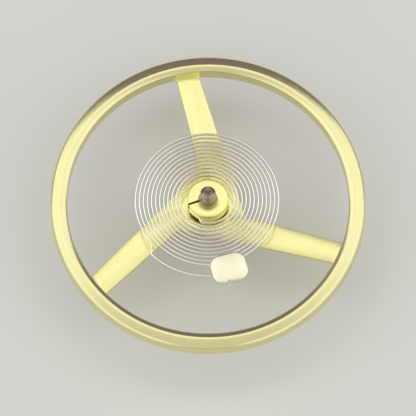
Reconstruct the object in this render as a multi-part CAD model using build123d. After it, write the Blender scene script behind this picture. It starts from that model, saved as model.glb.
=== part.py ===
from build123d import *
import math
import os

# A complete balance for a wrist watch: wheel, staff, double roller, collet, hairspring and stud.
# Sizes are in millimetres and azimuths in degrees, counted from +X towards +Y.
# Z is the axis of the staff, and the origin is the tip of the lower pivot.

# Staff, from the lower pivot upwards
pivot_radius = 0.055
pivot_length = 0.22
pivot_tip_round = 0.025
trumpet_length = 0.24
arbor_radius = 0.24
arbor_run_below_roller = 0.04
flange_radius = 0.62
flange_thickness = 0.30
flange_bevel_height = 0.12
wheel_seat_radius = 0.42
rivet_radius = 0.54
rivet_height = 0.06
rivet_bevel = 0.04
collet_shoulder_radius = 0.34
collet_shoulder_height = 0.10
collet_seat_radius = 0.27
arbor_run_above_collet = 0.38

# Wheel
rim_diameter = 10.0
rim_width = 0.53
rim_height = 0.57
rim_outer_bevel = 0.06
rim_inner_bevel = 0.03
rim_crown_height = 0.035
rim_drop_below_web = 0.03
web_thickness = 0.17
arm_count = 3
arm_azimuth = 103.5
arm_taper_angle = 3.5
arm_leading_offset = 0.04
arm_trailing_offset = 1.01
window_inner_round = 0.22
window_outer_round = 0.14
poising_cut_azimuths = (141.0, 149.0, 296.0)
poising_cutter_radius = 0.34
poising_cut_depth = 0.07

# Double roller and its impulse jewel
safety_roller_radius = 0.50
safety_roller_thickness = 0.24
fork_space = 0.32
roller_neck_radius = 0.36
table_edge_beyond_jewel = 0.24
table_thickness = 0.18
roller_bevel = 0.03
jewel_azimuth = 163.5
jewel_orbit_radius = 0.76
jewel_radius = 0.16
jewel_flat_from_centre = 0.07
jewel_end_gap = 0.02
crescent_radius = 0.19
shellac_radius = 0.22
shellac_foot_height = 0.03
shellac_dome_height = 0.05
shellac_clearance = 0.14

# Collet
collet_radius = 0.65
collet_height = 0.44
collet_bevel = 0.04
collet_slit_width = 0.07
collet_slit_azimuth = 200.0

# Hairspring
strip_thickness = 0.038
strip_height = 0.145
strip_base_above_web = 0.31
coil_turns = 12
first_coil_radius = 0.80
inner_seat_lead_angle = 8.0
inner_seat_sweep = 32.0
inner_knee_radius = 0.12
outer_knee_radius = 0.30
terminal_radius = 2.58
terminal_step = 0.30
terminal_lead_angle = 68.0
strip_tail = 0.12

# Stud and the cement in its slot
stud_azimuth = -75.0
stud_foot_width = 0.46
stud_foot_length = 0.88
stud_foot_round = 0.10
stud_foot_drop = 0.06
stud_neck_width = 0.38
stud_neck_length = 0.60
stud_neck_height = 0.18
stud_head_width = 0.94
stud_head_length = 1.16
stud_head_round = 0.34
stud_head_thickness = 0.22
stud_head_edge_round = 0.05
stud_notch_radius = 0.16
stud_notch_depth = 0.05
stud_notch_offset = 0.12
stud_slot_width = 0.17
stud_web_above_slot = 0.08
cement_bulge = 0.05

# Fits
friction_fit_clearance = 0.002
strip_slot_clearance = 0.02
cut_overrun = 0.1

# Levels and radii that follow from the sizes above
pivot_shoulder_z = pivot_length + trumpet_length
roller_base_z = pivot_shoulder_z + arbor_run_below_roller
safety_roller_top_z = roller_base_z + safety_roller_thickness
table_base_z = safety_roller_top_z + fork_space
table_top_z = table_base_z + table_thickness
web_base_z = table_top_z + flange_thickness
web_top_z = web_base_z + web_thickness
rivet_top_z = web_top_z + rivet_height
collet_base_z = rivet_top_z + collet_shoulder_height
collet_top_z = collet_base_z + collet_height
upper_trumpet_z = collet_top_z + arbor_run_above_collet
staff_top_z = upper_trumpet_z + trumpet_length + pivot_length
rim_base_z = web_base_z - rim_drop_below_web
rim_top_z = rim_base_z + rim_height
rim_shoulder_z = rim_top_z - rim_crown_height
rim_radius = rim_diameter / 2
rim_inner_radius = rim_radius - rim_width
arm_spacing = 360 / arm_count
table_radius = jewel_orbit_radius + table_edge_beyond_jewel
flange_neck_radius = jewel_orbit_radius - shellac_radius - shellac_clearance
strip_base_z = web_top_z + strip_base_above_web
strip_top_z = strip_base_z + strip_height
outer_coil_radius = terminal_radius - terminal_step
coil_pitch = (outer_coil_radius - first_coil_radius) / (coil_turns - 0.5)
strip_seat_radius = collet_radius + strip_thickness / 2
outer_knee_azimuth = stud_azimuth - terminal_lead_angle
stud_base_z = strip_base_z - stud_foot_drop
stud_slot_top_z = strip_top_z + strip_slot_clearance
stud_foot_top_z = stud_slot_top_z + stud_web_above_slot
stud_neck_top_z = stud_foot_top_z + stud_neck_height
stud_top_z = stud_neck_top_z + stud_head_thickness


# A point, or a step from a point, at an azimuth
def polar(radius, azimuth):
    angle = math.radians(azimuth)
    return Vector(radius * math.cos(angle), radius * math.sin(angle))


def spin(outline):
    return revolve(make_face(Plane.XZ * outline), Axis.Z)


# Turned staff

def balance_staff():
    tip_flat = pivot_radius - pivot_tip_round
    upper_pivot_z = staff_top_z - pivot_length
    lower_tip = Line((0, 0), (tip_flat, 0))
    lower_round = TangentArc((tip_flat, 0), (pivot_radius, pivot_tip_round), tangent=(1, 0))
    lower_pivot = Line((pivot_radius, pivot_tip_round), (pivot_radius, pivot_length))
    lower_trumpet = TangentArc(
        (pivot_radius, pivot_length), (arbor_radius, pivot_shoulder_z), tangent=(0, 1)
    )
    seats = Polyline(
        (arbor_radius, pivot_shoulder_z),
        (arbor_radius, table_top_z),
        (flange_neck_radius, table_top_z),
        (flange_radius, table_top_z + flange_bevel_height),
        (flange_radius, web_base_z),
        (wheel_seat_radius, web_base_z),
        (wheel_seat_radius, web_top_z),
        (rivet_radius, web_top_z),
        (rivet_radius - rivet_bevel, rivet_top_z),
        (collet_shoulder_radius, rivet_top_z),
        (collet_shoulder_radius, collet_base_z),
        (collet_seat_radius, collet_base_z),
        (collet_seat_radius, collet_top_z),
        (arbor_radius, collet_top_z),
        (arbor_radius, upper_trumpet_z),
    )
    upper_trumpet = TangentArc(
        (pivot_radius, upper_pivot_z), (arbor_radius, upper_trumpet_z), tangent=(0, -1)
    )
    upper_pivot = Line((pivot_radius, upper_pivot_z), (pivot_radius, staff_top_z - pivot_tip_round))
    upper_round = TangentArc(
        (tip_flat, staff_top_z), (pivot_radius, staff_top_z - pivot_tip_round), tangent=(1, 0)
    )
    upper_tip = Line((tip_flat, staff_top_z), (0, staff_top_z))
    axis = Line((0, staff_top_z), (0, 0))
    lower = lower_tip + lower_round + lower_pivot + lower_trumpet
    upper = upper_trumpet + upper_pivot + upper_round + upper_tip
    return spin(lower + seats + upper + axis)


# Wheel: a turned rim on a stamped web. The leading side of each arm is almost on a radius, the trailing
# side is tangent to the hub, and the two draw together towards the rim.

def wheel_window(index):
    leading_azimuth = arm_azimuth + index * arm_spacing
    trailing_azimuth = leading_azimuth + arm_spacing + arm_taper_angle
    turn_between = math.radians(trailing_azimuth - 90 - leading_azimuth)
    corner_reach = arm_trailing_offset + arm_leading_offset * math.sin(turn_between)
    corner = polar(corner_reach / math.cos(turn_between), leading_azimuth)
    corner -= polar(arm_leading_offset, leading_azimuth + 90)
    leading_end = corner + polar(rim_diameter, leading_azimuth)
    trailing_end = corner + polar(rim_diameter, trailing_azimuth)
    far_end = leading_end + polar(rim_diameter, trailing_azimuth)
    wedge = make_face(Polyline(corner, leading_end, far_end, trailing_end, close=True))
    window = wedge & Circle(rim_inner_radius)
    from_hub = window.vertices().sort_by_distance((0, 0))
    window = fillet(from_hub[0], window_inner_round)
    at_rim = window.vertices().sort_by_distance((0, 0))[-2:]
    return fillet(at_rim, window_outer_round)


# The rim's top is slightly crowned
def wheel_rim():
    inner_shoulder = (rim_inner_radius + rim_inner_bevel, rim_shoulder_z)
    outer_shoulder = (rim_radius - rim_outer_bevel, rim_shoulder_z)
    crest = ((inner_shoulder[0] + outer_shoulder[0]) / 2, rim_top_z)
    crown = ThreePointArc(outer_shoulder, crest, inner_shoulder)
    sides = Polyline(
        inner_shoulder,
        (rim_inner_radius, rim_shoulder_z - rim_inner_bevel),
        (rim_inner_radius, rim_base_z + rim_inner_bevel),
        (rim_inner_radius + rim_inner_bevel, rim_base_z),
        (rim_radius - rim_outer_bevel, rim_base_z),
        (rim_radius, rim_base_z + rim_outer_bevel),
        (rim_radius, rim_shoulder_z - rim_outer_bevel),
        outer_shoulder,
    )
    return spin(crown + sides)


# The cuts that poise the wheel are on the underside of the rim
def poising_cuts():
    middle_radius = rim_radius - rim_width / 2
    centre_z = rim_base_z + poising_cut_depth - poising_cutter_radius
    centres = [polar(middle_radius, azimuth) for azimuth in poising_cut_azimuths]
    return [Pos(centre.X, centre.Y, centre_z) * Sphere(poising_cutter_radius) for centre in centres]


def balance_wheel():
    web_face = Circle(rim_radius - rim_width / 2) - Circle(wheel_seat_radius + friction_fit_clearance)
    for index in range(arm_count):
        web_face -= wheel_window(index)
    web = extrude(Pos(0, 0, web_base_z) * web_face, web_thickness)
    return (wheel_rim() + web) - poising_cuts()


# Double roller, with the jewel's hole in its table and the crescent below it

def jewel_face(clearance):
    section = Circle(jewel_radius + clearance)
    flat = Rectangle(jewel_radius, 2 * jewel_radius + cut_overrun, align=(Align.MIN, Align.CENTER))
    section -= Pos(jewel_flat_from_centre + clearance, 0) * flat
    return Rot(0, 0, jewel_azimuth) * Pos(jewel_orbit_radius, 0) * section


def double_roller():
    bore_radius = arbor_radius + friction_fit_clearance
    section = Polyline(
        (bore_radius, roller_base_z),
        (safety_roller_radius - roller_bevel, roller_base_z),
        (safety_roller_radius, roller_base_z + roller_bevel),
        (safety_roller_radius, safety_roller_top_z - roller_bevel),
        (safety_roller_radius - roller_bevel, safety_roller_top_z),
        (roller_neck_radius, safety_roller_top_z),
        (roller_neck_radius, table_base_z),
        (table_radius - roller_bevel, table_base_z),
        (table_radius, table_base_z + roller_bevel),
        (table_radius, table_top_z - roller_bevel),
        (table_radius - roller_bevel, table_top_z),
        (bore_radius, table_top_z),
        close=True,
    )
    crescent_centre = polar(safety_roller_radius, jewel_azimuth)
    crescent_face = Pos(crescent_centre.X, crescent_centre.Y, roller_base_z) * Circle(crescent_radius)
    crescent = extrude(crescent_face, safety_roller_thickness)
    hole = extrude(Pos(0, 0, table_base_z) * jewel_face(friction_fit_clearance), table_thickness)
    return spin(section) - crescent - hole


def impulse_jewel():
    jewel_end_z = safety_roller_top_z + jewel_end_gap
    return extrude(Pos(0, 0, jewel_end_z) * jewel_face(0), table_top_z - jewel_end_z)


# A drop of shellac over the top end of the jewel
def jewel_shellac():
    top = (0, shellac_foot_height + shellac_dome_height)
    dome_edge = (shellac_radius, shellac_foot_height)
    dome = TangentArc(top, dome_edge, tangent=(1, 0))
    outline = Polyline(top, (0, 0), (shellac_radius, 0), dome_edge) + dome
    centre = polar(jewel_orbit_radius, jewel_azimuth)
    return Pos(centre.X, centre.Y, table_top_z) * spin(outline)


# Split collet

def collet():
    bore_radius = collet_seat_radius + friction_fit_clearance
    section = Polyline(
        (bore_radius, collet_base_z),
        (collet_radius - collet_bevel, collet_base_z),
        (collet_radius, collet_base_z + collet_bevel),
        (collet_radius, collet_top_z - collet_bevel),
        (collet_radius - collet_bevel, collet_top_z),
        (bore_radius, collet_top_z),
        close=True,
    )
    slit = Box(
        collet_radius + cut_overrun,
        collet_slit_width,
        collet_height + 2 * cut_overrun,
        align=(Align.MIN, Align.CENTER, Align.MIN),
    )
    slit = Pos(0, 0, collet_base_z - cut_overrun) * Rot(0, 0, collet_slit_azimuth) * slit
    return spin(section) - slit


# Hairspring: a flat strip on tangent arcs. Each arc is its centre, its radius, the azimuth where it
# starts and its sweep, which is negative where the strip bends outwards.

def knee(start_centre, start_radius, azimuth, end_centre, end_radius, bend_radius):
    outward_centre = start_centre + polar(start_radius + bend_radius, azimuth)
    between = end_centre - outward_centre
    distance = between.length
    reach = 2 * bend_radius
    inward_reach = end_radius - bend_radius
    along = (distance**2 + reach**2 - inward_reach**2) / (2 * distance)
    across = math.sqrt(reach**2 - along**2)
    direction = between / distance
    onward = Vector(direction.Y, -direction.X)
    inward_centre = outward_centre + direction * along + onward * across
    link = azimuth_of(inward_centre - outward_centre)
    landing = azimuth_of(inward_centre - end_centre)
    outward = (outward_centre, bend_radius, azimuth + 180, turn(azimuth + 180, link, -1))
    inward = (inward_centre, bend_radius, link + 180, turn(link + 180, landing, 1))
    return [outward, inward], landing


def azimuth_of(step):
    return math.degrees(math.atan2(step.Y, step.X))


# The sweep from one azimuth to another, to the left for 1 and to the right for -1
def turn(start, end, side):
    return side * ((side * (end - start)) % 360)


def hairspring_path():
    axis_point = Vector(0, 0)
    offset = polar(coil_pitch / 4, outer_knee_azimuth)
    half_turns = 2 * coil_turns
    coils = []
    for index in range(half_turns):
        side = 1 if index % 2 else -1
        radius = first_coil_radius + index * coil_pitch / 2
        coils.append((offset * side, radius, outer_knee_azimuth + 180 * (index % 2), 180))

    seat_start = outer_knee_azimuth - inner_seat_lead_angle
    seat_end = seat_start + inner_seat_sweep
    seat = (axis_point, strip_seat_radius, seat_start, inner_seat_sweep)
    first_centre, first_radius, first_start, first_sweep = coils[0]
    inner_knee, landing = knee(
        axis_point, strip_seat_radius, seat_end, first_centre, first_radius, inner_knee_radius
    )
    first_end = first_start + first_sweep
    coils[0] = (first_centre, first_radius, landing, turn(landing, first_end, 1))

    last_centre, last_radius, last_start, last_sweep = coils[-1]
    outer_knee, terminal_start = knee(
        last_centre, last_radius, outer_knee_azimuth, axis_point, terminal_radius, outer_knee_radius
    )
    tail_angle = math.degrees((stud_foot_length / 2 + strip_tail) / terminal_radius)
    terminal_sweep = turn(terminal_start, stud_azimuth + tail_angle, 1)
    terminal = (axis_point, terminal_radius, terminal_start, terminal_sweep)
    return [seat] + inner_knee + coils + outer_knee + [terminal]


# The long side of the strip that lies at a distance to the left of its middle line
def strip_side(path, to_left):
    return [
        CenterArc(centre, radius - to_left if sweep > 0 else radius + to_left, start, sweep)
        for centre, radius, start, sweep in path
    ]


# The least distance between turns, found on points along the middle line
def print_least_gap(path):
    points_per_arc = 36
    travelled = 0
    stations = []
    for centre, radius, start, sweep in path:
        for step in range(points_per_arc):
            share = step / points_per_arc
            point = centre + polar(radius, start + sweep * share)
            arc_length = radius * math.radians(abs(sweep))
            stations.append((travelled + arc_length * share, point.X, point.Y))
        travelled += arc_length
    least = min(
        math.hypot(x_a - x_b, y_a - y_b)
        for at_a, x_a, y_a in stations
        for at_b, x_b, y_b in stations
        if at_b - at_a > math.pi * first_coil_radius
    )
    print(f"hairspring: length {travelled:.1f} mm, pitch {coil_pitch:.4f} mm")
    print(f"hairspring: least gap between turns {least - strip_thickness:.4f} mm")


def hairspring():
    path = hairspring_path()
    print_least_gap(path)
    inside = strip_side(path, strip_thickness / 2)
    outside = strip_side(path, -strip_thickness / 2)
    inner_end = Line(inside[0] @ 0, outside[0] @ 0)
    outer_end = Line(inside[-1] @ 1, outside[-1] @ 1)
    face = Face(Wire(inside + [outer_end] + outside + [inner_end]))
    return extrude(Pos(0, 0, strip_base_z) * face, strip_height, dir=(0, 0, 1))


# Stud: its local X points away from the staff, and its local Y runs along the strip

def at_stud(level):
    centre = polar(terminal_radius, stud_azimuth)
    return Pos(centre.X, centre.Y, level) * Rot(0, 0, stud_azimuth)


def stud():
    foot_face = RectangleRounded(stud_foot_width, stud_foot_length, stud_foot_round)
    foot = extrude(foot_face, stud_foot_top_z - stud_base_z)
    slot = Box(
        stud_slot_width,
        stud_foot_length + cut_overrun,
        stud_slot_top_z - stud_base_z + cut_overrun,
        align=(Align.CENTER, Align.CENTER, Align.MAX),
    )
    neck_face = RectangleRounded(stud_neck_width, stud_neck_length, stud_foot_round)
    neck = extrude(neck_face, stud_neck_height)
    notch_centre = stud_head_width / 2 + stud_notch_radius - stud_notch_depth
    head_face = RectangleRounded(stud_head_width, stud_head_length, stud_head_round)
    head_face -= Pos(notch_centre, -stud_notch_offset) * Circle(stud_notch_radius)
    head = extrude(head_face, stud_head_thickness)
    head = fillet(head.edges().group_by(Axis.Z)[-1], stud_head_edge_round)
    foot = at_stud(stud_base_z) * foot - at_stud(stud_slot_top_z) * slot
    return foot + at_stud(stud_foot_top_z) * neck + at_stud(stud_neck_top_z) * head


# Cement fills the slot round the strip, which runs through it
def stud_cement(strip):
    depth = stud_slot_top_z - stud_base_z + cement_bulge
    fill = extrude(RectangleRounded(stud_slot_width, stud_foot_length, stud_slot_width / 4), depth)
    return at_stud(stud_base_z - cement_bulge) * fill - strip


os.makedirs("parts", exist_ok=True)
spring = hairspring()
pieces = {
    "balance_wheel": balance_wheel(),
    "balance_staff": balance_staff(),
    "double_roller": double_roller(),
    "impulse_jewel": impulse_jewel(),
    "jewel_shellac": jewel_shellac(),
    "collet": collet(),
    "hairspring": spring,
    "stud": stud(),
    "stud_cement": stud_cement(spring),
}
for name, piece in pieces.items():
    export_step(piece, f"parts/{name}.step")
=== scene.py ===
import math

import bmesh
import bpy
from mathutils import Matrix, Vector, geometry, noise


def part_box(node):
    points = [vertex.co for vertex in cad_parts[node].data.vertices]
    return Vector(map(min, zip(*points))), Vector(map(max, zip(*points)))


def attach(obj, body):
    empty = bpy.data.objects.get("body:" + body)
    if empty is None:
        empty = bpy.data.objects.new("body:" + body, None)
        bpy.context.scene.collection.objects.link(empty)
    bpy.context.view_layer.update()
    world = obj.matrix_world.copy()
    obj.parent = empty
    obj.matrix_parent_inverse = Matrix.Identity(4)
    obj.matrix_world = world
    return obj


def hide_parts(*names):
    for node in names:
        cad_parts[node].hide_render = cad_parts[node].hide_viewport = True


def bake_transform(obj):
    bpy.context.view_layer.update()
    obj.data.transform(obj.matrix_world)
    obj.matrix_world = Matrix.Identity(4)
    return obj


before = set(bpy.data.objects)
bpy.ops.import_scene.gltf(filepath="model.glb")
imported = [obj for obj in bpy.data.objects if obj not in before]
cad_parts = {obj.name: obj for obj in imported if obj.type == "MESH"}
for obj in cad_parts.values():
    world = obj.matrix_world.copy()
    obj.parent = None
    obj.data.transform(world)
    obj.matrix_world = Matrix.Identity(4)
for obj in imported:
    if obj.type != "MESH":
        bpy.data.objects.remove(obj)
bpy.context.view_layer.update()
print("frame loaded:", len(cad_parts), "nodes")

# Pieces are modelled in millimetres, with the staff's axis on Z, and brought to metres at the end.
mm = 0.001

# Points closer together than this count as one, in millimetres
nearness = 1e-4

# An edge is steep if its two faces meet at more than this, in radians
steepAngle = 1.2


# A node's lowest and highest corner, in millimetres
def boxOf(node):
    low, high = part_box(node)
    return Vector(low) / mm, Vector(high) / mm


def polar(radius, azimuth, level=0.0):
    angle = math.radians(azimuth)
    return Vector((radius * math.cos(angle), radius * math.sin(angle), level))


def azimuthOf(vector):
    return math.degrees(math.atan2(vector.y, vector.x))


def onlyVerts(items):
    return [item for item in items if isinstance(item, bmesh.types.BMVert)]


def addOutline(bm, points, closed=True):
    verts = [bm.verts.new(point) for point in points]
    for pair in zip(verts, verts[1:]):
        bm.edges.new(pair)
    if closed:
        bm.edges.new((verts[-1], verts[0]))
    return verts


def roundCorners(bm, verts, size, segments):
    bmesh.ops.bevel(bm, geom=verts, offset=size, offset_type="OFFSET", segments=segments, profile=0.5,
                    affect="VERTICES", clamp_overlap=True, material=-1)


def roundEdges(bm, edges, size, segments):
    bmesh.ops.bevel(bm, geom=edges, offset=size, offset_type="OFFSET", segments=segments, profile=0.5,
                    affect="EDGES", clamp_overlap=True, material=-1)


def steepEdges(bm, angle=steepAngle):
    return [edge for edge in bm.edges if edge.is_manifold and edge.calc_face_angle() > angle]


def isLevel(edge):
    return abs(edge.verts[0].co.z - edge.verts[1].co.z) < nearness


# The edges that lie at a bmesh's lowest level
def lowestEdges(bm, level):
    return [edge for edge in bm.edges if all(vert.co.z < level + nearness for vert in edge.verts)]


# Raises every face of a flat bmesh, which makes a prism of it
def extrudeFaces(bm, step):
    raised = bmesh.ops.extrude_face_region(bm, geom=bm.faces[:])
    bmesh.ops.translate(bm, vec=step, verts=onlyVerts(raised["geom"]))


# Spins items round an upright axis and gives what the last step made
def spinItems(bm, items, angle, steps, centre=(0, 0, 0), merge=False):
    spun = bmesh.ops.spin(bm, geom=items, cent=centre, axis=(0, 0, 1), dvec=(0, 0, 0), angle=angle,
                          steps=steps, use_merge=merge, use_normal_flip=False, use_duplicate=False)
    return spun["geom_last"]


# Turns an outline into a closed body, like a lathe
def turnOnLathe(bm, steps):
    spinItems(bm, bm.verts[:] + bm.edges[:], math.tau, steps, merge=True)
    bmesh.ops.remove_doubles(bm, verts=bm.verts, dist=nearness)


def finishMesh(bm, name, sharpAngle=40):
    bmesh.ops.recalc_face_normals(bm, faces=bm.faces)
    bmesh.ops.scale(bm, vec=(mm, mm, mm), verts=bm.verts)
    mesh = bpy.data.meshes.new(name)
    bm.to_mesh(mesh)
    bm.free()
    mesh.shade_smooth()
    mesh.set_sharp_from_angle(angle=math.radians(sharpAngle))
    piece = bpy.data.objects.new(name, mesh)
    bpy.context.scene.collection.objects.link(piece)
    return piece


# Cuts or joins a piece with another, which is used up
def combine(piece, other, operation, sharpAngle):
    step = piece.modifiers.new("combine", "BOOLEAN")
    step.object = other
    step.operation = operation
    step.solver = "EXACT"
    mesh = bpy.data.meshes.new_from_object(piece.evaluated_get(bpy.context.evaluated_depsgraph_get()))
    piece.modifiers.clear()
    mesh.name = piece.name
    piece.data = mesh
    bpy.data.objects.remove(other)
    mesh.shade_smooth()
    mesh.set_sharp_from_angle(angle=math.radians(sharpAngle))
    return piece


def fitPiece(piece, body, node, material):
    piece.data.materials.clear()
    piece.data.materials.append(material)
    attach(piece, body)
    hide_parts(node)


# Shader groups: each reads Object coordinates in millimetres and gives values that change over the surface

def startGroup(name, inputs, outputs):
    group = bpy.data.node_groups.new(name, "ShaderNodeTree")
    for label, value in inputs:
        socket = group.interface.new_socket(name=label, in_out="INPUT", socket_type="NodeSocketFloat")
        socket.default_value = value
    for label in outputs:
        group.interface.new_socket(name=label, in_out="OUTPUT", socket_type="NodeSocketFloat")
    return group, group.nodes.new("NodeGroupInput"), group.nodes.new("NodeGroupOutput")


def addNode(tree, kind, values=(), **settings):
    node = tree.nodes.new(kind)
    for key, value in settings.items():
        setattr(node, key, value)
    for key, value in dict(values).items():
        node.inputs[key].default_value = value
    return node


# A math node, whose inputs are each a number or another node's output
def addMath(tree, operation, *values, clamp=False):
    node = addNode(tree, "ShaderNodeMath", operation=operation, use_clamp=clamp)
    for index, value in enumerate(values):
        if isinstance(value, (int, float)):
            node.inputs[index].default_value = value
        else:
            tree.links.new(value, node.inputs[index])
    return node.outputs[0]


def addNoise(tree, place, values):
    cloud = addNode(tree, "ShaderNodeTexNoise", values=values)
    tree.links.new(place, cloud.inputs["Vector"])
    return cloud


def addTones(tree, first, second, factor):
    tone = addNode(tree, "ShaderNodeMix", data_type="RGBA")
    tone.inputs["A"].default_value = (*first, 1)
    tone.inputs["B"].default_value = (*second, 1)
    tree.links.new(factor, tone.inputs["Factor"])
    return tone.outputs["Result"]


def splitVector(tree, vector):
    parts = addNode(tree, "ShaderNodeSeparateXYZ")
    tree.links.new(vector, parts.inputs[0])
    return parts.outputs["X"], parts.outputs["Y"], parts.outputs["Z"]


def millimetres(tree):
    coordinates = addNode(tree, "ShaderNodeTexCoord")
    scaled = addNode(tree, "ShaderNodeVectorMath", operation="SCALE", values={"Scale": 1 / mm})
    tree.links.new(coordinates.outputs["Object"], scaled.inputs[0])
    return scaled.outputs[0]


# Fine circles round the staff's axis, which waver a little
def makeTurnedLines():
    inputs = [("Lines per mm", 22.0), ("Waviness", 0.05)]
    group, start, end = startGroup("turned lines", inputs, ["Height", "Streak"])
    place = millimetres(group)
    flat = addNode(group, "ShaderNodeVectorMath", operation="MULTIPLY", values={1: (1, 1, 0)})
    radius = addNode(group, "ShaderNodeVectorMath", operation="LENGTH")
    group.links.new(place, flat.inputs[0])
    group.links.new(flat.outputs[0], radius.inputs[0])
    drift = addNoise(group, place, {"Scale": 0.9, "Detail": 1.0})
    wave = addMath(group, "MULTIPLY", drift.outputs["Fac"], start.outputs["Waviness"])
    across = addMath(group, "ADD", radius.outputs["Value"], splitVector(group, place)[2])
    along = addMath(group, "MULTIPLY", addMath(group, "ADD", across, wave), start.outputs["Lines per mm"])
    for name, scale, detail in (("Height", 1.0, 3.0), ("Streak", 0.22, 2.0)):
        lines = addNode(group, "ShaderNodeTexNoise", noise_dimensions="1D",
                        values={"Scale": scale, "Detail": detail})
        group.links.new(along, lines.inputs["W"])
        group.links.new(lines.outputs["Fac"], end.inputs[name])
    return group


# Fine lines that run outward from the staff's axis, stretched along the radius
def makeDrawnGrain():
    stretch = 0.9
    group, start, end = startGroup("drawn grain", [("Lines", 60.0)], ["Height", "Streak"])
    x, y, z = splitVector(group, millimetres(group))
    across = addMath(group, "MULTIPLY", addMath(group, "ARCTAN2", y, x), start.outputs["Lines"])
    squares = addMath(group, "ADD", addMath(group, "MULTIPLY", x, x), addMath(group, "MULTIPLY", y, y))
    radius = addMath(group, "POWER", squares, 0.5)
    joined = addNode(group, "ShaderNodeCombineXYZ")
    group.links.new(across, joined.inputs["X"])
    group.links.new(addMath(group, "MULTIPLY", radius, stretch), joined.inputs["Y"])
    group.links.new(z, joined.inputs["Z"])
    for name, scale, detail in (("Height", 1.0, 4.0), ("Streak", 0.25, 2.0)):
        lines = addNoise(group, joined.outputs[0], {"Scale": scale, "Detail": detail})
        group.links.new(lines.outputs["Fac"], end.inputs[name])
    return group


# Cloudy tarnish, a fine frost, and hair-fine marks in three directions, each a turn and an offset
handlingSizes = {
    "directions": ((0.45, 0.0), (-0.9, 7.0), (1.7, 13.0)), "tilt": (0.15, 0.1), "stretch": (1.0, 52.0, 8.0),
    "markRange": (0.74, 0.80), "frostScale": 38.0,
}


def makeHandling(s):
    inputs = [("Cloud size", 1.2), ("Scratch length", 0.8)]
    group, start, end = startGroup("handling", inputs, ["Cloud", "Marks", "Frost"])
    place = millimetres(group)
    cloud = addNoise(group, place, {"Detail": 4.0, "Roughness": 0.6})
    group.links.new(addMath(group, "DIVIDE", 1.0, start.outputs["Cloud size"]), cloud.inputs["Scale"])
    rate = addMath(group, "DIVIDE", 1.0, start.outputs["Scratch length"])
    low, high = s["markRange"]
    marks = []
    for turn, offset in s["directions"]:
        turned = addNode(group, "ShaderNodeMapping",
                         values={"Location": (offset, 0, 0), "Rotation": (*s["tilt"], turn)})
        stretched = addNode(group, "ShaderNodeVectorMath", operation="MULTIPLY", values={1: s["stretch"]})
        group.links.new(place, turned.inputs["Vector"])
        group.links.new(turned.outputs["Vector"], stretched.inputs[0])
        streaks = addNoise(group, stretched.outputs[0], {"Detail": 1.0, "Distortion": 0.15})
        group.links.new(rate, streaks.inputs["Scale"])
        thin = addNode(group, "ShaderNodeMapRange", values={"From Min": low, "From Max": high})
        group.links.new(streaks.outputs["Fac"], thin.inputs["Value"])
        marks.append(thin.outputs["Result"])
    both = addMath(group, "MAXIMUM", marks[0], marks[1])
    group.links.new(addMath(group, "MAXIMUM", both, marks[2]), end.inputs["Marks"])
    group.links.new(cloud.outputs["Fac"], end.inputs["Cloud"])
    frost = addNoise(group, place, {"Scale": s["frostScale"], "Detail": 3.0})
    group.links.new(frost.outputs["Fac"], end.inputs["Frost"])
    return group


shaderGroups = {
    "turned": makeTurnedLines(), "drawn": makeDrawnGrain(), "handling": makeHandling(handlingSizes),
}
print("shader groups made")


def addGroup(tree, name, values):
    return addNode(tree, "ShaderNodeGroup", node_tree=shaderGroups[name], values=values)


def startMaterial(name):
    material = bpy.data.materials.new(name)
    material.use_nodes = True
    return material, material.node_tree, material.node_tree.nodes["Principled BSDF"]


# Spreads the middle of a cloud over the whole range
def spreadCloud(tree, cloud, ends):
    spread = addNode(tree, "ShaderNodeMapRange", values={"From Min": ends[0], "From Max": ends[1]})
    tree.links.new(cloud, spread.inputs["Value"])
    return spread.outputs["Result"]


def addBump(tree, shader, height):
    bump = addNode(tree, "ShaderNodeBump", values={"Strength": 1.0, "Distance": mm})
    tree.links.new(height, bump.inputs["Height"])
    tree.links.new(bump.outputs["Normal"], shader.inputs["Normal"])


# A metal: two tones mixed by its clouds, grain that lifts and roughens it, and a few hair-fine marks. Depths
# are in millimetres.
def makeMetal(name, look):
    material, tree, shader = startMaterial(name)
    shader.inputs["Metallic"].default_value = 1.0
    shader.inputs["Anisotropic"].default_value = look["anisotropic"]
    shader.inputs["Anisotropic Rotation"].default_value = look["anisotropicTurn"]
    grain = addGroup(tree, look["grain"], look["grainValues"])
    handling = addGroup(tree, "handling", look["handlingValues"])
    streak, marks = grain.outputs["Streak"], handling.outputs["Marks"]
    cloud = spreadCloud(tree, handling.outputs["Cloud"], look["cloudRange"])
    clouded = addMath(tree, "MULTIPLY", cloud, look["cloudTint"])
    tint = addMath(tree, "ADD", clouded, addMath(tree, "MULTIPLY", streak, look["streakTint"]), clamp=True)
    tree.links.new(addTones(tree, look["tone"], look["darkTone"], tint), shader.inputs["Base Color"])
    smoothest = look["roughness"] - look["roughnessSpread"] / 2
    rough = addMath(tree, "MULTIPLY_ADD", streak, look["roughnessSpread"], smoothest)
    scuffed = addMath(tree, "MULTIPLY", marks, look["markRoughness"])
    tree.links.new(addMath(tree, "ADD", rough, scuffed), shader.inputs["Roughness"])
    lifted = addMath(tree, "MULTIPLY", grain.outputs["Height"], look["grainDepth"])
    frosted = addMath(tree, "MULTIPLY", handling.outputs["Frost"], look["frostDepth"])
    marked = addMath(tree, "MULTIPLY", marks, -look["markDepth"])
    addBump(tree, shader, addMath(tree, "ADD", addMath(tree, "ADD", lifted, frosted), marked))
    if look["anisotropic"]:
        tangent = addNode(tree, "ShaderNodeTangent", direction_type="RADIAL", axis="Z")
        tree.links.new(tangent.outputs["Tangent"], shader.inputs["Tangent"])
    return material


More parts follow.
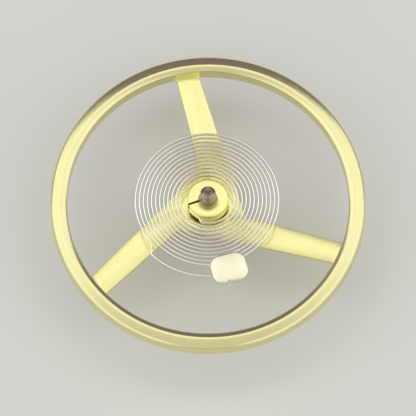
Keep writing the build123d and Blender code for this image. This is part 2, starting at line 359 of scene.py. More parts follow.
plainLook = {
    "anisotropic": 0.0, "anisotropicTurn": 0.0, "cloudRange": (0.35, 0.75), "frostDepth": 0.0,
    "markRoughness": 0.05,
}
# The rim's gilt tone is darker than the arms' though both are one gilt: painted shade, for how brightly the
# rim is lit. Its turned grain and roughness are a real finish.
giltRimPaintedShadeLook = dict(
    plainLook, tone=(0.85, 0.815, 0.43), darkTone=(0.80, 0.72, 0.35), cloudTint=0.35, streakTint=0.25,
    roughness=0.13, roughnessSpread=0.06, grain="turned",
    grainValues={"Lines per mm": 34.0, "Waviness": 0.03},
    handlingValues={"Cloud size": 1.6, "Scratch length": 0.7}, grainDepth=0.0006, markDepth=0.0006,
    anisotropic=0.25, anisotropicTurn=0.25,
)
# The arms' gilt tone is lighter than the rim's though both are one gilt: painted light, for the dimmer light
# they get. Their drawn grain and roughness are a real finish.
giltArmPaintedLightLook = dict(
    plainLook, tone=(0.94, 0.91, 0.425), darkTone=(0.89, 0.82, 0.355), cloudTint=0.4, streakTint=0.2,
    roughness=0.21, roughnessSpread=0.10, grain="drawn", grainValues={"Lines": 70.0},
    handlingValues={"Cloud size": 1.1, "Scratch length": 0.9}, grainDepth=0.0010, frostDepth=0.0006,
    markDepth=0.0008,
)
giltPolishLook = dict(
    plainLook, tone=(0.99, 0.95, 0.40), darkTone=(0.95, 0.87, 0.32), cloudTint=0.3, streakTint=0.2,
    roughness=0.25, roughnessSpread=0.1, grain="turned", grainValues={"Lines per mm": 45.0, "Waviness": 0.02},
    handlingValues={"Cloud size": 0.5, "Scratch length": 0.4}, grainDepth=0.0006, markDepth=0.0005,
)
rollerLook = dict(giltPolishLook, tone=(0.90, 0.72, 0.34), darkTone=(0.72, 0.52, 0.22), roughness=0.22)
# The steel's tone is darker and browner than steel: painted dark, warm reflection and shade at the staff's
# end.
steelPaintedReflectionLook = dict(
    plainLook, tone=(0.345, 0.295, 0.25), darkTone=(0.235, 0.195, 0.16), cloudTint=0.3, streakTint=0.2,
    roughness=0.14, roughnessSpread=0.08, grain="turned",
    grainValues={"Lines per mm": 60.0, "Waviness": 0.01},
    handlingValues={"Cloud size": 0.4, "Scratch length": 0.3}, grainDepth=0.0004, markDepth=0.0003,
)
springLook = dict(
    plainLook, tone=(0.99, 0.97, 0.93), darkTone=(0.95, 0.92, 0.86), cloudTint=0.5, streakTint=0.0,
    roughness=0.10, roughnessSpread=0.04, grain="turned", grainValues={"Lines per mm": 90.0, "Waviness": 0.0},
    handlingValues={"Cloud size": 0.9, "Scratch length": 0.5}, grainDepth=0.0002, markDepth=0.0,
)
studLook = dict(
    plainLook, tone=(0.93, 0.905, 0.68), darkTone=(0.88, 0.835, 0.60), cloudTint=0.5, streakTint=0.1,
    roughness=0.21, roughnessSpread=0.08, grain="drawn", grainValues={"Lines": 160.0},
    handlingValues={"Cloud size": 0.6, "Scratch length": 0.5}, grainDepth=0.0006, frostDepth=0.0005,
    markDepth=0.0003,
)

rubyLook = {
    "tone": (0.75, 0.03, 0.10), "darkTone": (0.55, 0.01, 0.06), "transmission": 0.7, "refraction": 1.77,
    "roughness": 0.03, "markRoughness": 0.1, "handlingValues": {"Cloud size": 0.12, "Scratch length": 0.2},
}


def makeRuby(look):
    material, tree, shader = startMaterial("ruby")
    shader.inputs["Transmission Weight"].default_value = look["transmission"]
    shader.inputs["IOR"].default_value = look["refraction"]
    handling = addGroup(tree, "handling", look["handlingValues"])
    tone = addTones(tree, look["tone"], look["darkTone"], handling.outputs["Cloud"])
    tree.links.new(tone, shader.inputs["Base Color"])
    rough = addMath(tree, "MULTIPLY_ADD", handling.outputs["Marks"], look["markRoughness"], look["roughness"])
    tree.links.new(rough, shader.inputs["Roughness"])
    return material


shellacLook = {
    "tone": (0.36, 0.15, 0.04), "darkTone": (0.22, 0.08, 0.02), "cloudRange": (0.35, 0.65), "coat": 0.6,
    "coatRoughness": 0.1, "roughness": 0.12, "roughnessSpread": 0.2, "depth": 0.01,
    "handlingValues": {"Cloud size": 0.15, "Scratch length": 0.2},
}
cementLook = dict(
    shellacLook, tone=(0.80, 0.72, 0.56), darkTone=(0.66, 0.56, 0.40), coat=0.2, roughness=0.35, depth=0.012,
    handlingValues={"Cloud size": 0.12, "Scratch length": 0.2},
)


# Shellac and cement: cloudy resin with a soft skin
def makeResin(name, look):
    material, tree, shader = startMaterial(name)
    shader.inputs["Coat Weight"].default_value = look["coat"]
    shader.inputs["Coat Roughness"].default_value = look["coatRoughness"]
    cloud = addGroup(tree, "handling", look["handlingValues"]).outputs["Cloud"]
    tone = addTones(tree, look["tone"], look["darkTone"], spreadCloud(tree, cloud, look["cloudRange"]))
    tree.links.new(tone, shader.inputs["Base Color"])
    rough = addMath(tree, "MULTIPLY_ADD", cloud, look["roughnessSpread"], look["roughness"])
    tree.links.new(rough, shader.inputs["Roughness"])
    addBump(tree, shader, addMath(tree, "MULTIPLY", cloud, look["depth"]))
    return material


giltRim = makeMetal("gilt rim", giltRimPaintedShadeLook)
giltArms = makeMetal("gilt arms", giltArmPaintedLightLook)
giltPolish = makeMetal("polished gilt", giltPolishLook)
rollerBrass = makeMetal("roller brass", rollerLook)
polishedSteel = makeMetal("polished steel", steelPaintedReflectionLook)
springSteel = makeMetal("spring steel", springLook)
studMetal = makeMetal("stud metal", studLook)
ruby = makeRuby(rubyLook)
shellac = makeResin("shellac", shellacLook)
cement = makeResin("cement", cementLook)
print("materials made")


# Rim: a crowned section turned on the lathe, with three poising cuts in its underside

rimSizes = {
    "innerRadius": 4.47, "outerRadius": 5.0, "base": boxOf("balance_wheel")[0].z, "height": 0.57,
    "belowArms": 0.03, "crown": 0.035, "crestRise": 0.006, "crestRadius": 4.645, "outerBevel": 0.06,
    "innerBevel": 0.03, "edgeRound": 0.018, "edgeSteps": 3, "crestRound": 0.06, "crestSteps": 12,
    "steps": 240, "sharpAngle": 30, "cutRadius": 0.34, "cutDepth": 0.07, "cutSteps": (48, 32),
    "cutAzimuths": (141.0, 149.0, 296.0),
}


def makeRim(s):
    bm = bmesh.new()
    inner, outer, base, top = s["innerRadius"], s["outerRadius"], s["base"], s["base"] + s["height"]
    shoulder = top - s["crown"]
    corners = addOutline(bm, [
        (inner, 0, base + s["innerBevel"]),
        (inner + s["innerBevel"], 0, base),
        (outer - s["outerBevel"], 0, base),
        (outer, 0, base + s["outerBevel"]),
        (outer, 0, shoulder - s["outerBevel"]),
        (outer - s["outerBevel"], 0, shoulder),
        (s["crestRadius"], 0, top + s["crestRise"]),
        (inner + s["innerBevel"], 0, shoulder),
        (inner, 0, shoulder - s["innerBevel"]),
    ])
    crest = max(corners, key=lambda vert: vert.co.z)
    corners.remove(crest)
    roundCorners(bm, corners, s["edgeRound"], s["edgeSteps"])
    roundCorners(bm, [crest], s["crestRound"], s["crestSteps"])
    turnOnLathe(bm, s["steps"])
    rim = finishMesh(bm, "rim", s["sharpAngle"])

    cutters = bmesh.new()
    along, upward = s["cutSteps"]
    for azimuth in s["cutAzimuths"]:
        place = polar((inner + outer) / 2, azimuth, base + s["cutDepth"] - s["cutRadius"])
        bmesh.ops.create_uvsphere(cutters, u_segments=along, v_segments=upward, radius=s["cutRadius"],
                                  matrix=Matrix.Translation(place))
    return combine(rim, finishMesh(cutters, "cutter"), "DIFFERENCE", s["sharpAngle"])


# Arms and hub: one plate whose outline goes round the three arms, with the hole for the staff

armSizes = {
    "count": 3, "azimuth": 103.5, "taper": 3.5, "leadingOffset": 0.04, "trailingOffset": 1.01,
    "rimInner": rimSizes["innerRadius"], "intoRim": 0.23, "intoRimLead": 6.0,
    "base": rimSizes["base"] + rimSizes["belowArms"], "thickness": 0.17, "hole": 0.422, "holeSteps": 64,
    "hubRound": 0.118, "rimRound": 0.14, "roundSteps": 6, "edgeRound": 0.014, "edgeSteps": 3,
    "flatAngle": 1, "sharpAngle": 35,
}


# In an arm's own frame its leading side runs along X, and its trailing side starts at the window's corner
# behind it
def makeArms(s):
    bm = bmesh.new()
    spacing, inner, reach = 360 / s["count"], s["rimInner"], s["rimInner"] + s["intoRim"]
    turn = math.radians(spacing + s["taper"] - 90)
    cornerReach = (s["trailingOffset"] + s["leadingOffset"] * math.sin(turn)) / math.cos(turn)
    corner = Matrix.Rotation(math.radians(-spacing), 3, "Z") @ Vector((cornerReach, -s["leadingOffset"], 0))
    beyond = corner.xy + polar(2 * inner, s["taper"]).xy
    crossings = geometry.intersect_line_sphere_2d(corner.xy, beyond, (0, 0), inner)
    trailing = max((point for point in crossings if point), key=lambda point: point.x).to_3d()
    leading = Vector((math.sqrt(inner ** 2 - s["leadingOffset"] ** 2), -s["leadingOffset"], 0))
    tips = polar(reach, azimuthOf(trailing) - s["intoRimLead"]), polar(reach, s["intoRimLead"])
    hubCorners, rimCorners, points = [], [], []
    for index in range(s["count"]):
        turned = Matrix.Rotation(math.radians(s["azimuth"] + index * spacing), 3, "Z")
        hubCorners.append(len(points))
        rimCorners += [len(points) + 1, len(points) + 4]
        points += [turned @ point for point in (corner, trailing, *tips, leading)]
    verts = addOutline(bm, points)
    roundCorners(bm, [verts[i] for i in hubCorners], s["hubRound"], s["roundSteps"])
    roundCorners(bm, [verts[i] for i in rimCorners], s["rimRound"], s["roundSteps"])
    bmesh.ops.create_circle(bm, segments=s["holeSteps"], radius=s["hole"])
    bmesh.ops.triangle_fill(bm, edges=bm.edges[:], use_beauty=True, use_dissolve=False, normal=(0, 0, 1))
    bmesh.ops.dissolve_limit(bm, angle_limit=math.radians(s["flatAngle"]), verts=bm.verts, edges=bm.edges,
                             use_dissolve_boundaries=False, delimit=set())
    bmesh.ops.translate(bm, vec=(0, 0, s["base"]), verts=bm.verts)
    extrudeFaces(bm, (0, 0, s["thickness"]))
    bmesh.ops.recalc_face_normals(bm, faces=bm.faces)
    roundEdges(bm, [edge for edge in steepEdges(bm) if isLevel(edge)], s["edgeRound"], s["edgeSteps"])
    return finishMesh(bm, "arms", s["sharpAngle"])


# Staff: a turned outline. A trumpet, tangent to the pivot, widens each pivot to the arbor.

staffLow, staffHigh = boxOf("balance_staff")
colletLow, colletHigh = boxOf("collet")
staffSizes = {
    "base": staffLow.z, "top": staffHigh.z, "rollerTop": boxOf("double_roller")[1].z,
    "webBase": armSizes["base"], "webThickness": armSizes["thickness"], "colletBase": colletLow.z,
    "colletTop": colletHigh.z, "pivotRadius": 0.055, "pivotLength": 0.22, "trumpetLength": 0.24,
    "arborRadius": 0.24, "flangeNeck": 0.40,
    "flangeRadius": 0.62, "flangeBevel": 0.12, "wheelSeat": 0.42, "rivetRadius": 0.54, "rivetBevel": 0.04,
    "rivetHeight": 0.06, "colletShoulder": 0.34, "colletSeat": 0.27, "tipRound": 0.025, "tipSteps": 4,
    "trumpetRound": 0.18, "trumpetSteps": 12, "shoulderRound": 0.01, "shoulderSteps": 2, "steps": 96,
    "sharpAngle": 35,
}


def makeStaff(s):
    bm = bmesh.new()
    base, top, pivot, arbor = s["base"], s["top"], s["pivotRadius"], s["arborRadius"]
    webBase, webTop = s["webBase"], s["webBase"] + s["webThickness"]
    rivetTop, rivet = webTop + s["rivetHeight"], s["rivetRadius"]
    throat = s["pivotLength"] + s["trumpetLength"]
    bend = s["pivotLength"] + ((arbor - pivot) ** 2 + s["trumpetLength"] ** 2) / (2 * s["trumpetLength"])
    outline = [
        (0, base), (pivot, base), (pivot, base + bend), (arbor, base + throat), (arbor, s["rollerTop"]),
        (s["flangeNeck"], s["rollerTop"]), (s["flangeRadius"], s["rollerTop"] + s["flangeBevel"]),
        (s["flangeRadius"], webBase), (s["wheelSeat"], webBase), (s["wheelSeat"], webTop), (rivet, webTop),
        (rivet - s["rivetBevel"], rivetTop), (s["colletShoulder"], rivetTop),
        (s["colletShoulder"], s["colletBase"]), (s["colletSeat"], s["colletBase"]),
        (s["colletSeat"], s["colletTop"]), (arbor, s["colletTop"]), (arbor, top - throat),
        (pivot, top - bend), (pivot, top), (0, top),
    ]
    verts = addOutline(bm, [(radius, 0, level) for radius, level in outline], closed=False)
    tips, trumpets, shoulders = [verts[1], verts[-2]], [verts[2], verts[-3]], verts[3:-3]
    roundCorners(bm, shoulders, s["shoulderRound"], s["shoulderSteps"])
    roundCorners(bm, tips, s["tipRound"], s["tipSteps"])
    roundCorners(bm, trumpets, s["trumpetRound"], s["trumpetSteps"])
    turnOnLathe(bm, s["steps"])
    return finishMesh(bm, "staff", s["sharpAngle"])


# Collet: a ring with rounded edges, open at its slit

colletSizes = {
    "bore": 0.272, "radius": 0.65, "base": colletLow.z, "top": colletHigh.z, "bevel": 0.04, "bevelSteps": 4,
    "boreBevel": 0.015, "boreSteps": 2, "slit": 0.07, "slitAzimuth": 200.0, "steps": 120, "sharpAngle": 35,
}


def makeCollet(s):
    bm = bmesh.new()
    bore, radius, half = s["bore"], s["radius"], s["slit"] / 2
    points = [(bore, 0, s["base"]), (radius, 0, s["base"]), (radius, 0, s["top"]), (bore, 0, s["top"])]
    verts = addOutline(bm, points)
    roundCorners(bm, verts[1:3], s["bevel"], s["bevelSteps"])
    roundCorners(bm, [v for v in bm.verts if v.co.x < bore + nearness], s["boreBevel"], s["boreSteps"])
    first = bm.verts[:]
    last = onlyVerts(spinItems(bm, bm.verts[:] + bm.edges[:], math.tau, s["steps"]))
    for ends, place in ((first, half), (last, -half)):
        for v in ends:
            v.co.x, v.co.y = math.sqrt(v.co.x ** 2 - half ** 2), place
        bmesh.ops.contextual_create(bm, geom=ends)
    turned = Matrix.Rotation(math.radians(s["slitAzimuth"]), 3, "Z")
    bmesh.ops.rotate(bm, cent=(0, 0, 0), matrix=turned, verts=bm.verts)
    return finishMesh(bm, "splitCollet", s["sharpAngle"])


# Hairspring: the strip's section swept along tangent arcs. Each is a centre, a radius, a start and a sweep.

springLow, springHigh = boxOf("hairspring")
springSizes = {
    "thickness": 0.038, "base": springLow.z, "height": springHigh.z - springLow.z, "corner": 0.006,
    "stepAngle": 6.0, "leastSteps": 4, "turns": 12, "coilRadius": 0.80, "seatRadius": colletSizes["radius"],
    "seatLead": 8.0, "seatSweep": 32.0, "innerBend": 0.12, "outerBend": 0.30, "kneeLead": 68.0,
    "terminalRadius": 2.58, "studAzimuth": -75.0, "studHalfLength": 0.44, "beyondStud": 0.12,
    "sharpAngle": 50,
}


# The sweep from one azimuth to another, to the left for 1 and to the right for -1
def turnFrom(start, end, side):
    return side * ((side * (end - start)) % 360)


# Two bends lead the strip outward, from the end of one arc onto the next. Gives them and where they land.
def addKnee(centre, radius, azimuth, nextCentre, nextRadius, bend):
    outward = centre + polar(radius + bend, azimuth)
    crossings = geometry.intersect_sphere_sphere_2d(outward.xy, 2 * bend, nextCentre.xy, nextRadius - bend)
    inward = crossings[0].to_3d()
    link, landing = azimuthOf(inward - outward), azimuthOf(inward - nextCentre)
    first = outward, bend, azimuth + 180, turnFrom(azimuth + 180, link, -1)
    second = inward, bend, link + 180, turnFrom(link + 180, landing, 1)
    return [first, second], landing


# The coil is half turns about two centres, each a step wider than the last, so that they meet on a tangent
def springArcs(s):
    axis, kneeAzimuth = Vector(), s["studAzimuth"] - s["kneeLead"]
    pitch = (s["terminalRadius"] - s["outerBend"] - s["coilRadius"]) / (s["turns"] - 0.5)
    offset = polar(pitch / 4, kneeAzimuth)
    coil = []
    for index in range(2 * s["turns"]):
        odd = index % 2
        centre = offset if odd else -offset
        coil.append((centre, s["coilRadius"] + index * pitch / 2, kneeAzimuth + 180 * odd, 180))
    seat = axis, s["seatRadius"] + s["thickness"] / 2, kneeAzimuth - s["seatLead"], s["seatSweep"]
    inner, landing = addKnee(axis, seat[1], seat[2] + seat[3], *coil[0][:2], s["innerBend"])
    coil[0] = *coil[0][:2], landing, kneeAzimuth + 180 - landing
    outer, start = addKnee(*coil[-1][:2], kneeAzimuth + 360, axis, s["terminalRadius"], s["outerBend"])
    end = s["studAzimuth"] + math.degrees((s["studHalfLength"] + s["beyondStud"]) / s["terminalRadius"])
    return [seat, *inner, *coil, *outer, (axis, s["terminalRadius"], start, turnFrom(start, end, 1))]


def makeHairspring(s):
    bm = bmesh.new()
    alongLayer = bm.verts.layers.float.new("along")
    arcs = springArcs(s)
    total = sum(radius * math.radians(abs(sweep)) for _, radius, _, sweep in arcs)
    _, startRadius, startAzimuth, _ = arcs[0]
    inside, outside = startRadius - s["thickness"] / 2, startRadius + s["thickness"] / 2
    low, high = s["base"], s["base"] + s["height"]
    corners = ((inside, low), (outside, low), (outside, high), (inside, high))
    addOutline(bm, [polar(radius, startAzimuth, level) for radius, level in corners])
    roundCorners(bm, bm.verts[:], s["corner"], 1)
    geom = bm.verts[:] + bm.edges[:]
    bmesh.ops.contextual_create(bm, geom=bm.verts[:])
    travelled = 0.0
    for centre, radius, _, sweep in arcs:
        steps = max(s["leastSteps"], round(abs(sweep) / s["stepAngle"]))
        for _ in range(steps):
            travelled += radius * math.radians(abs(sweep)) / steps
            made = spinItems(bm, geom, math.radians(sweep) / steps, 1, centre)
            geom = [item for item in made if not isinstance(item, bmesh.types.BMFace)]
            for vert in onlyVerts(geom):
                vert[alongLayer] = travelled / total
    bmesh.ops.contextual_create(bm, geom=onlyVerts(geom))
    return finishMesh(bm, "flatSpring", s["sharpAngle"])


# Bakes the strip's place into its points, which keep the share of its length that each was given when made
def windWithJoint(piece):
    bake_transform(piece)


# Stud: its local X points away from the staff, and its local Y runs along the strip

studLow, studHigh = boxOf("stud")
cementLow, cementHigh = boxOf("stud_cement")
studSizes = {
    "radius": springSizes["terminalRadius"], "azimuth": springSizes["studAzimuth"], "base": studLow.z,
    "top": studHigh.z, "footWidth": 0.46, "footLength": 2 * springSizes["studHalfLength"], "footRound": 0.10,
    "roundSteps": 5, "slotWidth": 0.17, "slotTop": cementHigh.z, "slotRoof": 0.08, "neckWidth": 0.38,
    "neckLength": 0.60, "neckHeight": 0.18, "headWidth": 0.94, "headLength": 1.16, "headRound": 0.33,
    "headSteps": 10, "topRound": 0.05, "notchDepth": 0.07, "notchHalf": 0.10, "notchOffset": 0.12,
    "notchRound": 0.06, "notchSteps": 5, "notchEndSteps": 4, "headMerge": 0.004, "edgeRound": 0.012,
    "edgeSteps": 2, "sharpAngle": 35,
}


# Moves a bmesh from the stud's own frame to its place beside the hairspring
def placeAtStud(bm, s):
    turned = Matrix.Rotation(math.radians(s["azimuth"]), 4, "Z")
    place = Matrix.Translation(polar(s["radius"], s["azimuth"])) @ turned
    bmesh.ops.transform(bm, matrix=place, verts=bm.verts)


# Raises a face on a quarter round, by insets that get wider towards its top
def roundFace(bm, face, size, steps):
    angles = [math.radians(90 * step / steps) for step in range(steps + 1)]
    for low, high in zip(angles, angles[1:]):
        inward, upward = math.cos(low) - math.cos(high), math.sin(high) - math.sin(low)
        bmesh.ops.inset_region(bm, faces=[face], thickness=size * inward, depth=size * upward,
                               use_even_offset=True, use_boundary=True)


def makeFoot(s, footTop):
    foot = bmesh.new()
    w, l, slot = s["footWidth"] / 2, s["footLength"] / 2, s["slotWidth"] / 2
    verts = addOutline(foot, [
        (-w, -l, s["base"]), (-slot, -l, s["base"]), (-slot, -l, s["slotTop"]), (slot, -l, s["slotTop"]),
        (slot, -l, s["base"]), (w, -l, s["base"]), (w, -l, footTop), (-w, -l, footTop),
    ])
    bmesh.ops.contextual_create(foot, geom=verts)
    extrudeFaces(foot, (0, 2 * l, 0))
    outer = [edge for edge in foot.edges if all(abs(abs(vert.co.x) - w) < nearness for vert in edge.verts)]
    roundEdges(foot, [edge for edge in outer if not isLevel(edge)], s["footRound"], s["roundSteps"])
    roundEdges(foot, steepEdges(foot), s["edgeRound"], s["edgeSteps"])
    return foot


# The neck reaches a little into the foot and the head, so that they join cleanly
def makeNeck(s, footTop):
    neck = bmesh.new()
    w, l, overlap = s["neckWidth"] / 2, s["neckLength"] / 2, s["edgeRound"] * 2
    verts = addOutline(neck, [(x, y, footTop - overlap) for x, y in ((-w, -l), (w, -l), (w, l), (-w, l))])
    roundCorners(neck, verts, s["footRound"], s["roundSteps"])
    bmesh.ops.contextual_create(neck, geom=neck.verts[:])
    extrudeFaces(neck, (0, 0, s["neckHeight"] + 2 * overlap))
    return neck


def makeHead(s, neckTop):
    head = bmesh.new()
    w, l, half, y = s["headWidth"] / 2, s["headLength"] / 2, s["notchHalf"], -s["notchOffset"]
    outline = ((-w, -l), (w, -l), (w, y - half), (w - s["notchDepth"], y), (w, y + half), (w, l), (-w, l))
    verts = addOutline(head, [(*point, neckTop) for point in outline])
    roundCorners(head, [verts[3]], s["notchRound"], s["notchSteps"])
    notchEnds = [v for v in head.verts if v.co.x > 0 and abs(abs(v.co.y - y) - half) < nearness]
    roundCorners(head, notchEnds, s["notchRound"] / 2, s["notchEndSteps"])
    corners = [v for v in head.verts if abs(abs(v.co.y) - l) < nearness]
    roundCorners(head, corners, s["headRound"], s["headSteps"])
    bmesh.ops.remove_doubles(head, verts=head.verts, dist=s["headMerge"])
    bmesh.ops.contextual_create(head, geom=head.verts[:])
    extrudeFaces(head, (0, 0, s["top"] - s["topRound"] - neckTop))
    bmesh.ops.recalc_face_normals(head, faces=head.faces)
    highest = max(head.faces, key=lambda face: face.calc_center_median().z)
    roundFace(head, highest, s["topRound"], s["roundSteps"])
    roundEdges(head, lowestEdges(head, neckTop), s["edgeRound"], s["edgeSteps"])
    return head


def makeStud(s):
    footTop = s["slotTop"] + s["slotRoof"]
    foot, neck, head = makeFoot(s, footTop), makeNeck(s, footTop), makeHead(s, footTop + s["neckHeight"])
    for bm in (foot, neck, head):
        placeAtStud(bm, s)
    stud = combine(finishMesh(foot, "springStud"), finishMesh(neck, "studNeck"), "UNION", s["sharpAngle"])
    return combine(stud, finishMesh(head, "studHead"), "UNION", s["sharpAngle"])


# Cement: it fills the stud's slot and swells out of it a little at the bottom
cementSizes = {
    "slotWidth": studSizes["slotWidth"], "slotLength": studSizes["footLength"], "bottom": cementLow.z,
    "roof": cementHigh.z, "sideGap": 0.001, "endGap": 0.01, "bottomGap": 0.005, "roofGap": 0.002,
    "round": 0.05, "roundSteps": 4, "leastCut": 0.3, "cuts": 11, "unevenness": 0.012, "noiseScale": 8,
    "swollenHeight": 0.06, "sharpAngle": 50,
}


def makeCement(s):
    bm = bmesh.new()
    width, length = s["slotWidth"] - 2 * s["sideGap"], s["slotLength"] - 2 * s["endGap"]
    low, high = s["bottom"] + s["bottomGap"], s["roof"] - s["roofGap"]
    bmesh.ops.create_cube(bm, size=1.0)
    bmesh.ops.scale(bm, vec=(width, length, high - low), verts=bm.verts)
    bmesh.ops.translate(bm, vec=(0, 0, (high + low) / 2), verts=bm.verts)
    roundEdges(bm, lowestEdges(bm, low), s["round"], s["roundSteps"])
    longEdges = [edge for edge in bm.edges if edge.calc_length() > s["leastCut"]]
    bmesh.ops.subdivide_edges(bm, edges=longEdges, cuts=s["cuts"], use_grid_fill=True)
    for v in bm.verts:
        swell = noise.noise(v.co * s["noiseScale"]) * s["unevenness"]
        v.co += Vector((0, swell, -swell if v.co.z < low + s["swollenHeight"] else 0))
    placeAtStud(bm, studSizes)
    return finishMesh(bm, "slotCement", s["sharpAngle"])


# Shellac: a drop that has run out unevenly round the jewel
shellacSizes = {
    "orbit": 0.76, "azimuth": 163.5, "base": boxOf("jewel_shellac")[0].z, "radius": 0.22,
    "footHeight": 0.02, "footShare": 0.97, "footRound": 0.015, "footSteps": 3, "domeHeight": 0.058,
    "domeShare": 0.55, "domeRound": 0.1, "domeSteps": 5, "steps": 48, "noiseScale": 9, "unevenness": 0.16,
    "spreadShare": 0.92, "spreadLimit": 0.4, "riseShare": 0.9, "riseLimit": 0.5, "sharpAngle": 60,
}


def makeShellac(s):
    bm = bmesh.new()
    radius, foot, top = s["radius"], s["footHeight"], s["footHeight"] + s["domeHeight"]
    verts = addOutline(bm, [
        (0, 0, 0), (radius, 0, 0), (radius * s["footShare"], 0, foot), (radius * s["domeShare"], 0, top),
        (0, 0, top),
    ], closed=False)
    roundCorners(bm, [verts[3]], s["domeRound"], s["domeSteps"])
    roundCorners(bm, [verts[2]], s["footRound"], s["footSteps"])
    turnOnLathe(bm, s["steps"])
    for v in bm.verts:
        spread = noise.noise(Vector((v.co.x, v.co.y, 0)) * s["noiseScale"])
        outward = s["spreadShare"] + s["unevenness"] * min(spread, s["spreadLimit"])
        v.co.x *= outward
        v.co.y *= outward
        v.co.z *= s["riseShare"] + s["unevenness"] * min(spread, s["riseLimit"])
    bmesh.ops.translate(bm, vec=polar(s["orbit"], s["azimuth"], s["base"]), verts=bm.verts)
    return finishMesh(bm, "shellacDrop", s["sharpAngle"])


# The roller and the jewel keep their CAD form, with the flat faces merged and the edges finely bevelled
copySizes = {
    "double_roller": {"name": "roller", "bevel": 0.010, "bevelSteps": 2, "flatAngle": 1, "sharpAngle": 30},
    "impulse_jewel": {"name": "jewelPin", "bevel": 0.008, "bevelSteps": 2, "flatAngle": 1, "sharpAngle": 40},
}


def copyNode(node):
    s, bm = copySizes[node], bmesh.new()
    bm.from_mesh(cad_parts[node].data)
    bmesh.ops.scale(bm, vec=(1 / mm, 1 / mm, 1 / mm), verts=bm.verts)
    bmesh.ops.remove_doubles(bm, verts=bm.verts, dist=nearness)
    bmesh.ops.dissolve_limit(bm, angle_limit=math.radians(s["flatAngle"]), verts=bm.verts, edges=bm.edges,
                             use_dissolve_boundaries=False, delimit=set())
    roundEdges(bm, steepEdges(bm, math.radians(s["sharpAngle"])), s["bevel"], s["bevelSteps"])
    return finishMesh(bm, s["name"], s["sharpAngle"])


fitPiece(makeRim(rimSizes), "balance", "balance_wheel", giltRim)
fitPiece(makeArms(armSizes), "balance", "balance_wheel", giltArms)
print("wheel made")
fitPiece(makeStaff(staffSizes), "balance", "balance_staff", polishedSteel)
fitPiece(makeCollet(colletSizes), "balance", "collet", giltPolish)
fitPiece(copyNode("double_roller"), "balance", "double_roller", rollerBrass)
fitPiece(copyNode("impulse_jewel"), "balance", "impulse_jewel", ruby)
fitPiece(makeShellac(shellacSizes), "balance", "jewel_shellac", shellac)
print("staff, roller and collet made")
fitPiece(makeStud(studSizes), "stud", "stud", studMetal)
fitPiece(makeCement(cementSizes), "stud", "stud_cement", cement)
print("stud made")
spring = makeHairspring(springSizes)
spring.data.materials.append(springSteel)
windWithJoint(spring)
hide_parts("hairspring")
print("hairspring made:", len(spring.data.vertices), "points")


# Stage: a pale floor under the lower pivot, which is clear from below. Its size is in metres, its level in
# millimetres.

stageSizes = {
    "floorSize": 1.2, "level": -0.01, "floorTone": (0.79, 0.79, 0.755), "floorTint": (0.76, 0.76, 0.725),
    "roughness": 0.7, "specular": 0.2, "cloudScale": 90.0,
}


def makeFloor(s):
    bm = bmesh.new()
    bmesh.ops.create_grid(bm, x_segments=1, y_segments=1, size=s["floorSize"] / 2)
    bmesh.ops.translate(bm, vec=(0, 0, s["level"] * mm), verts=bm.verts)
    mesh = bpy.data.meshes.new("floor")
    bm.to_mesh(mesh)
    bm.free()
    floor = bpy.data.objects.new("floor", mesh)
    bpy.context.scene.collection.objects.link(floor)
    material, tree, shader = startMaterial("pale card")
    shader.inputs["Roughness"].default_value = s["roughness"]
    shader.inputs["Specular IOR Level"].default_value = s["specular"]
    coordinates = addNode(tree, "ShaderNodeTexCoord")
    cloud = addNoise(tree, coordinates.outputs["Object"], {"Scale": s["cloudScale"], "Detail": 3.0})
    tone = addTones(tree, s["floorTone"], s["floorTint"], cloud.outputs["Fac"])
    tree.links.new(tone, shader.inputs["Base Color"])
    facing = addNode(tree, "ShaderNodeNewGeometry")
    clear = addNode(tree, "ShaderNodeBsdfTransparent")
    oneSided = addNode(tree, "ShaderNodeMixShader")
    tree.links.new(facing.outputs["Backfacing"], oneSided.inputs["Fac"])
    tree.links.new(shader.outputs[0], oneSided.inputs[1])
    tree.links.new(clear.outputs[0], oneSided.inputs[2])
    tree.links.new(oneSided.outputs[0], tree.nodes["Material Output"].inputs["Surface"])
    mesh.materials.append(material)


# The sky is a pale dome, softer behind the camera. A dark wedge beyond the object, wide below and narrow at
# its tip, is what the rim's crown shows as the dark bands of the photograph.
skySizes = {
    "tone": (1.0, 1.0, 0.985), "behind": 0.70, "bright": 1.10, "aheadRange": (0.05, 0.30),
    "asideRange": (0.15, 0.40), "wedgeMiddle": -0.03, "wedgeTip": 0.842, "wedgeSpread": 3.5,
    "wedgeEdge": (0.07, 0.0), "wedgeAhead": (0.30, 0.40), "wedgeFoot": (0.15, 0.35),
    "wedgeTone": (0.185, 0.157, 0.215), "horizon": 0.62, "horizonRange": (0.10, 0.42),
    "backdrop": (0.70, 0.70, 0.68),
}


# Leads a value softly from low to high between two ends
def addRange(tree, value, ends, low=0.0, high=1.0):
    ranged = addNode(tree, "ShaderNodeMapRange", interpolation_type="SMOOTHSTEP",
                     values={"From Min": ends[0], "From Max": ends[1], "To Min": low, "To Max": high})
    tree.links.new(value, ranged.inputs["Value"])
    return ranged.outputs["Result"]


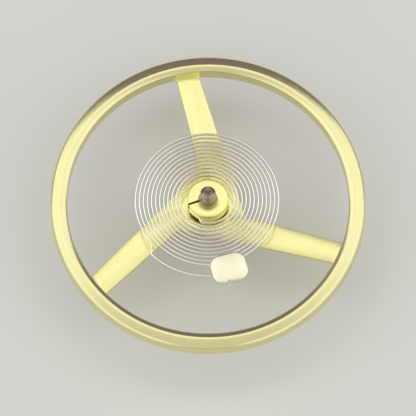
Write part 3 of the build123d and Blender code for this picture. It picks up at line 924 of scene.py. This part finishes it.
def makeSky(s):
    world = bpy.data.worlds.new("studio")
    world.use_nodes = True
    tree = world.node_tree
    coordinates = addNode(tree, "ShaderNodeTexCoord")
    across, ahead, up = splitVector(tree, coordinates.outputs["Generated"])
    aside = addMath(tree, "ABSOLUTE", across)
    litAhead, litAside = addRange(tree, ahead, s["aheadRange"]), addRange(tree, aside, s["asideRange"])
    lit = addMath(tree, "MAXIMUM", litAhead, litAside)
    level = addMath(tree, "MULTIPLY_ADD", lit, s["bright"] - s["behind"], s["behind"])
    fromMiddle = addMath(tree, "ABSOLUTE", addMath(tree, "SUBTRACT", across, s["wedgeMiddle"]))
    halfWidth = addMath(tree, "MULTIPLY", addMath(tree, "SUBTRACT", s["wedgeTip"], up), s["wedgeSpread"])
    wedge = addRange(tree, addMath(tree, "SUBTRACT", fromMiddle, halfWidth), s["wedgeEdge"])
    wedge = addMath(tree, "MULTIPLY", wedge, addRange(tree, ahead, s["wedgeAhead"]))
    wedge = addMath(tree, "MULTIPLY", wedge, addRange(tree, up, s["wedgeFoot"]))
    background = tree.nodes["Background"]
    tree.links.new(addTones(tree, s["tone"], s["wedgeTone"], wedge), background.inputs["Color"])
    horizon = addRange(tree, up, s["horizonRange"], s["horizon"], 1.0)
    tree.links.new(addMath(tree, "MULTIPLY", level, horizon), background.inputs["Strength"])
    backdrop = addNode(tree, "ShaderNodeBackground", values={"Color": (*s["backdrop"], 1)})
    seen = addNode(tree, "ShaderNodeLightPath")
    shown = addNode(tree, "ShaderNodeMixShader")
    tree.links.new(seen.outputs["Is Camera Ray"], shown.inputs["Fac"])
    tree.links.new(background.outputs[0], shown.inputs[1])
    tree.links.new(backdrop.outputs[0], shown.inputs[2])
    tree.links.new(shown.outputs[0], tree.nodes["World Output"].inputs["Surface"])
    bpy.context.scene.world = world


# Each soft box: the direction it hangs in, its distance, its width and depth in metres, and its brightness
softBoxes = {
    "key box": {
        "azimuth": 152.0, "elevation": 50.0, "distance": 0.20, "size": (0.20, 0.16), "brightness": 0.10,
    },
    "fill box": {
        "azimuth": 20.0, "elevation": 50.0, "distance": 0.20, "size": (0.20, 0.16), "brightness": 0.06,
    },
}


# The direction from the object towards something that looks at it
def awayFrom(azimuth, elevation):
    level, height = polar(math.cos(math.radians(elevation)), azimuth), math.sin(math.radians(elevation))
    return level + Vector((0, 0, height))


def makeSoftBoxes(boxes, aim):
    for name, box in boxes.items():
        light = bpy.data.lights.new(name, "AREA")
        light.shape = "RECTANGLE"
        light.size, light.size_y = box["size"]
        light.energy = box["brightness"] * math.pi * light.size * light.size_y
        lamp = bpy.data.objects.new(name, light)
        bpy.context.scene.collection.objects.link(lamp)
        away = awayFrom(box["azimuth"], box["elevation"])
        lamp.location = aim + away * box["distance"]
        lamp.rotation_euler = away.to_track_quat("Z", "Y").to_euler()
        lamp.visible_camera = False


# Lens in millimetres, frame width and aim in millimetres at the object, clip range in metres
cameraSizes = {
    "azimuth": -90.0, "elevation": 68.0, "lens": 500.0, "frameWidth": 13.2, "aim": (0.0, -0.1, 1.7),
    "clip": (0.001, 5.0),
}


def makeCamera(s):
    camera = bpy.data.objects.new("camera", bpy.data.cameras.new("camera"))
    bpy.context.scene.collection.objects.link(camera)
    camera.data.lens = s["lens"]
    camera.data.clip_start, camera.data.clip_end = s["clip"]
    away = awayFrom(s["azimuth"], s["elevation"])
    distance = s["frameWidth"] * mm * s["lens"] / camera.data.sensor_width
    camera.location = Vector(s["aim"]) * mm + away * distance
    camera.rotation_euler = away.to_track_quat("Z", "Y").to_euler()
    bpy.context.scene.camera = camera


makeFloor(stageSizes)
makeSky(skySizes)
makeSoftBoxes(softBoxes, Vector(cameraSizes["aim"]) * mm)
makeCamera(cameraSizes)
bpy.context.scene.view_settings.view_transform = "Standard"
print("stage, lights and camera made")
